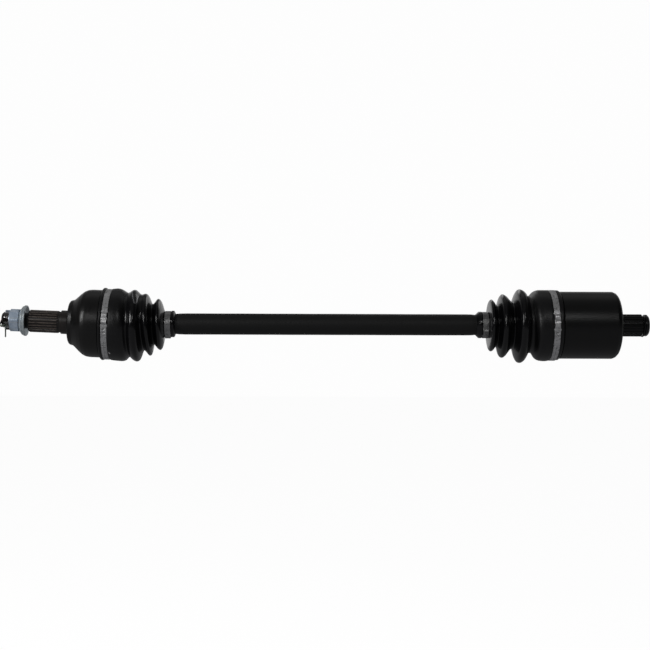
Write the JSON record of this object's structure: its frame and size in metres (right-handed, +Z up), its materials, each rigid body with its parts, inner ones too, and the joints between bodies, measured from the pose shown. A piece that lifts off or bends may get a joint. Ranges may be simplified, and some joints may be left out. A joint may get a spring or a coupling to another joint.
{
  "type": "cv axle",
  "caption": "Off-road vehicle half-shaft: bar with a fixed ball joint and threaded stub at the wheel end, a plunging ball joint at the inboard end, both booted.",
  "frame": {"origin": "on the bar's axis at the middle of the axle's length, within 2 mm of the centre of its bounding box", "axes": "+X along the bar towards the inboard (differential) end, -X the wheel end, +Z up"},
  "size_m": [0.7763, 0.0887, 0.0876],
  "materials": {
    "black_steel": "satin",
    "boot_rubber": "satin",
    "zinc_plate": "satin",
    "clamp_steel": "satin",
    "wire_steel": "satin",
    "cage_steel": "satin",
    "bearing_steel": "polished",
    "ball_steel": "polished"
  },
  "bodies": {
    "inboard_cup": {"inboard_housing": "black_steel", "stub_circlip": "wire_steel", "inboard_wire_ring": "wire_steel", "inboard_boot_clamp_large": "clamp_steel", "inboard_boot": "boot_rubber"},
    "inboard_plunger": {"inboard_ball_1": "ball_steel", "inboard_ball_4": "ball_steel"},
    "inboard_cage_set": {"inboard_cage": "cage_steel", "inboard_ball_2": "ball_steel", "inboard_ball_3": "ball_steel", "inboard_ball_5": "ball_steel", "inboard_ball_6": "ball_steel"},
    "bar": {"axle_bar": "black_steel", "outboard_inner_race": "bearing_steel", "inboard_inner_race": "bearing_steel", "outboard_race_circlip": "wire_steel", "inboard_race_circlip": "wire_steel", "outboard_boot_clamp_small": "clamp_steel", "inboard_boot_clamp_small": "clamp_steel"},
    "outboard_tilt_balls": {"outboard_ball_1": "ball_steel", "outboard_ball_4": "ball_steel"},
    "outboard_cage_set": {"outboard_cage": "cage_steel", "outboard_ball_2": "ball_steel", "outboard_ball_3": "ball_steel", "outboard_ball_5": "ball_steel", "outboard_ball_6": "ball_steel"},
    "outboard_bell_link": {"outboard_boot": "boot_rubber"},
    "wheel_end": {"outboard_housing": "black_steel", "castle_nut": "zinc_plate", "hub_washer_outer": "zinc_plate", "hub_washer_inner": "zinc_plate", "cotter_pin": "wire_steel", "outboard_boot_clamp_large": "clamp_steel"}
  },
  "joints": [
    {"name": "inboard_plunge", "type": "slide", "parent": "inboard_cup", "child": "inboard_plunger", "axis": [1, 0, 0], "range_m": [-0.014, 0.014]},
    {"name": "inboard_bend", "type": "hinge", "parent": "inboard_plunger", "child": "bar", "pos_m": [0.292, 0, 0], "axis": [0, 1, 0], "range_deg": [-20, 20], "deforming": ["inboard_boot"]},
    {"name": "inboard_cage_follow", "type": "hinge", "parent": "inboard_plunger", "child": "inboard_cage_set", "pos_m": [0.292, 0, 0], "axis": [0, 1, 0], "range_deg": [-10, 10]},
    {"name": "outboard_tilt", "type": "hinge", "parent": "bar", "child": "outboard_tilt_balls", "pos_m": [-0.272, 0, 0], "axis": [0, 1, 0], "range_deg": [-8.6, 6.4], "deforming": ["outboard_boot"]},
    {"name": "outboard_steer", "type": "hinge", "parent": "outboard_tilt_balls", "child": "outboard_cage_set", "pos_m": [-0.272, 0, 0], "axis": [0.0192, 0, 0.9998], "range_deg": [-21, 21]},
    {"name": "outboard_steer_out", "type": "hinge", "parent": "outboard_cage_set", "child": "outboard_bell_link", "pos_m": [-0.272, 0, 0], "axis": [0.0192, 0, 0.9998], "range_deg": [-21, 21]},
    {"name": "outboard_tilt_out", "type": "hinge", "parent": "outboard_bell_link", "child": "wheel_end", "pos_m": [-0.272, 0, 0], "axis": [0, 1, 0], "range_deg": [-8.6, 6.4]}
  ],
  "couplings": [
    {"joint": "inboard_cage_follow", "follows": "inboard_bend", "ratio": 0.5},
    {"joint": "outboard_steer_out", "follows": "outboard_steer", "ratio": 1},
    {"joint": "outboard_tilt_out", "follows": "outboard_tilt", "ratio": 1}
  ]
}
